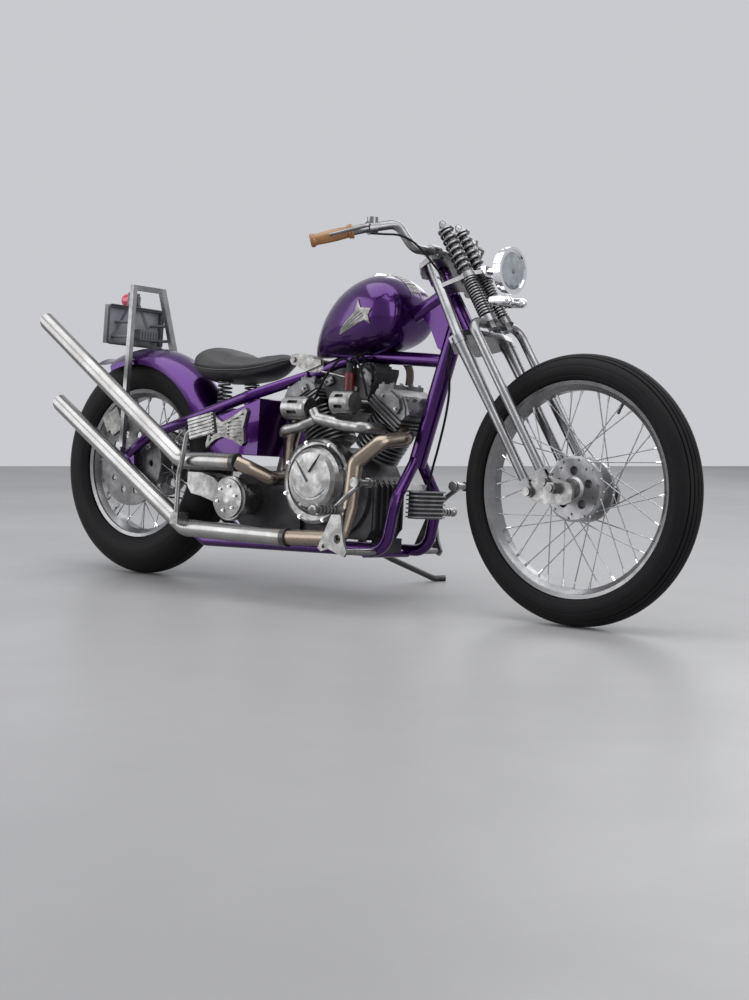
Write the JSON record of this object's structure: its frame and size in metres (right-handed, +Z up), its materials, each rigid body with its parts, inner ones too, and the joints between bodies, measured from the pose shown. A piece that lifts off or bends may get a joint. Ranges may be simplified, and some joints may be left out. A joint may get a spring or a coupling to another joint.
{
  "type": "chopper motorcycle",
  "caption": "Rigid-frame chopper motorcycle with springer fork, open V-twin engine, slash-cut exhausts and sissy bar, leaning on its side stand.",
  "frame": {"origin": "on the ground, in the middle of the leaning machine's box", "axes": "+X forward, +Y to the rider's left, +Z up; the machine leans 5 degrees to its left onto the side stand"},
  "size_m": [2.3018, 0.7889, 1.0636],
  "materials": {
    "black_leather": "matt",
    "black_paint": "satin",
    "black_rubber": "satin",
    "candy_purple": "gloss candy paint",
    "chrome": "polished",
    "engine_alloy": "cast, satin",
    "engine_dark": "matt",
    "grey_plate": "satin",
    "red_coil": "satin",
    "red_lens": "gloss",
    "satin_alloy": "satin",
    "tan_grip": "satin",
    "tan_hose": "satin",
    "tyre": "matt"
  },
  "bodies": {
    "chassis": {"frame_front": "candy_purple", "frame_cradle": "candy_purple", "frame_rear": "candy_purple", "fuel_tank": "candy_purple", "chrome_trim": "chrome", "seat": "black_leather", "seat_springs": "black_paint", "seat_hinge": "chrome", "rear_fender": "candy_purple", "sissy_bar": "chrome", "plate_holder": "grey_plate", "tail_lamp": "red_lens", "side_box": "candy_purple", "crankcase": "engine_dark", "engine_covers": "chrome", "barrels": "engine_alloy", "heads": "engine_alloy", "air_box": "engine_dark", "ignition_coil": "red_coil", "intake": "chrome", "fuel_hose": "tan_hose", "exhaust_upper": "chrome", "exhaust_lower": "chrome", "oil_cooler": "satin_alloy", "drive_belt": "black_rubber", "frame_cable": "black_rubber", "foot_controls": "chrome", "rear_axle_set": "chrome"},
    "fork": {"fork_rear_legs": "chrome", "fork_front_legs": "chrome", "fork_springs": "chrome", "rockers": "chrome", "handlebar": "chrome", "grips": "tan_grip", "headlight": "chrome", "bar_cable": "black_rubber"},
    "front_wheel": {"front_tyre": "tyre", "front_rim": "chrome", "front_spokes": "chrome", "front_hub": "satin_alloy"},
    "rear_wheel": {"rear_tyre": "tyre", "rear_rim": "chrome", "rear_spokes": "chrome", "rear_hub": "satin_alloy"},
    "stand": {"side_stand": "black_paint"}
  },
  "joints": [
    {"name": "steering", "type": "hinge", "parent": "chassis", "child": "fork", "pos_m": [0.353, 0.00869, 0.85399], "axis": [-0.5373, 0.0735, 0.8402], "range_deg": [-28, 28]},
    {"name": "front_wheel_spin", "type": "hinge", "parent": "fork", "child": "front_wheel", "pos_m": [0.8035, -0.03558, 0.34792], "axis": [0, 0.9962, -0.0872], "continuous": true},
    {"name": "rear_wheel_spin", "type": "hinge", "parent": "chassis", "child": "rear_wheel", "pos_m": [-0.8035, -0.03584, 0.34493], "axis": [0, 0.9962, -0.0872], "continuous": true},
    {"name": "side_stand_fold", "type": "hinge", "parent": "chassis", "child": "stand", "pos_m": [-0.02, 0.08056, 0.138], "axis": [-0.0601, 0.4115, 0.9094], "range_deg": [0, 70]}
  ]
}
